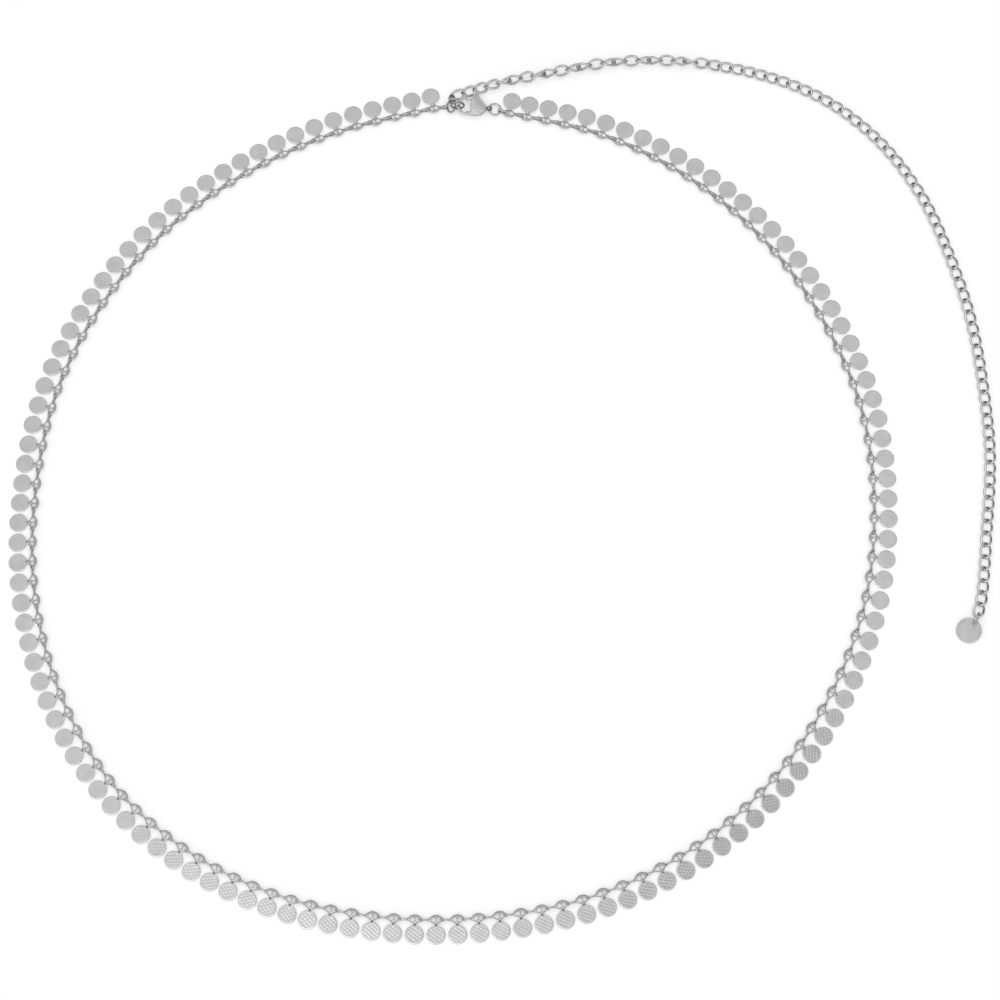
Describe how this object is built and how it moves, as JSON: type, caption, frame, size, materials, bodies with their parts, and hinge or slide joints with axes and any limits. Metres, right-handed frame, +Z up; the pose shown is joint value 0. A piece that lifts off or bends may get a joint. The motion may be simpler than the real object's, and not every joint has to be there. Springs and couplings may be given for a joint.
{
  "type": "waist chain",
  "caption": "Steel waist chain: a closed loop of stamped links, each with a round waffled disc, a lobster clasp, and a loose curb-chain extension that ends in a round tag.",
  "frame": {"origin": "middle of the outline in plan, on the surface that the chain lies on", "axes": "+Z up from the surface, +Y towards the clasp side of the loop, +X towards the side on which the extension lies"},
  "size_m": [0.2764, 0.2574, 0.0042],
  "materials": {
    "disc_steel": "satin",
    "wire_steel": "polished",
    "curb_steel": "polished",
    "clasp_steel": "polished",
    "tag_steel": "satin"
  },
  "bodies": {
    "chain": {"disc_chain_right": "disc_steel", "disc_chain_left": "disc_steel", "start_strap": "wire_steel", "clasp_ring": "wire_steel", "clasp_body": "clasp_steel", "hook_ring": "wire_steel", "end_ring": "wire_steel", "extension_ring": "wire_steel", "extension_chain": "curb_steel", "tag_ring": "wire_steel", "end_tag": "tag_steel"},
    "lever": {"clasp_lever": "clasp_steel"}
  },
  "joints": [
    {"name": "lever_hinge", "type": "hinge", "parent": "chain", "child": "lever", "pos_m": [-0.00671, 0.11237, 0.00141], "axis": [-0.0097, -0.1388, 0.9903], "range_deg": [0, 14], "stiffness_Nm_per_rad": 0.001}
  ]
}
